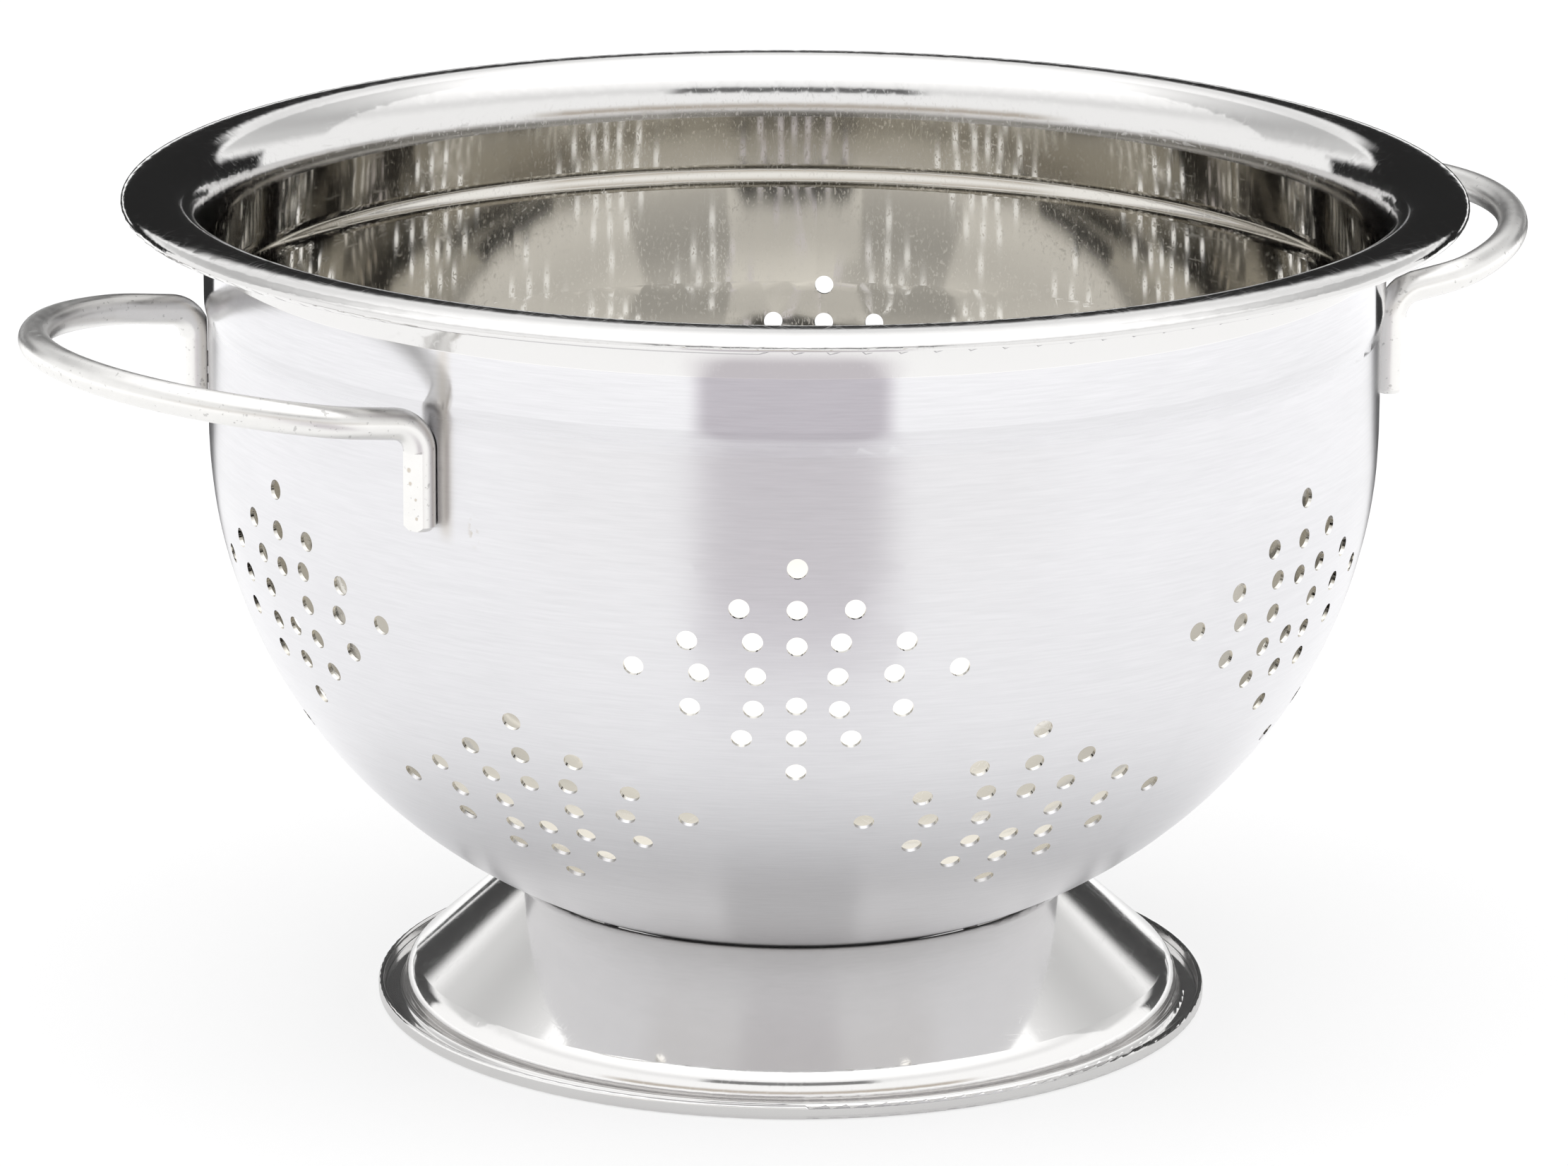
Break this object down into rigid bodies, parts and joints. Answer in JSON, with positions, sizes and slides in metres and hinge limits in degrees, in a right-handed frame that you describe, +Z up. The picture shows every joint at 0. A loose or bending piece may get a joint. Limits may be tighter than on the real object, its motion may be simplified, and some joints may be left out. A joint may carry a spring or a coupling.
{
  "type": "colander",
  "caption": "Footed steel colander: deep round bowl with clusters of punched holes, flared rolled rim, conical foot ring and wire loop handles.",
  "frame": {"origin": "on the bowl's axis, in the plane that the foot ring rests on", "axes": "+Z up along the bowl's axis, -Y towards the side that faces the viewer; the handles lie on a line 62 degrees from -Y towards -X"},
  "size_m": [0.303, 0.27, 0.1702],
  "materials": {
    "bowl_steel": "satin outside, polished inside and on the rim",
    "foot_steel": "polished with fine scratches",
    "wire_steel": "tumbled satin wire",
    "weld_steel": "dull weld metal"
  },
  "bodies": {
    "root": {"bowl": "bowl_steel", "foot": "foot_steel", "handle_left": "wire_steel", "handle_right": "wire_steel", "handle_left_spot_welds": "weld_steel", "handle_right_spot_welds": "weld_steel", "foot_spot_welds": "weld_steel"}
  },
  "joints": []
}
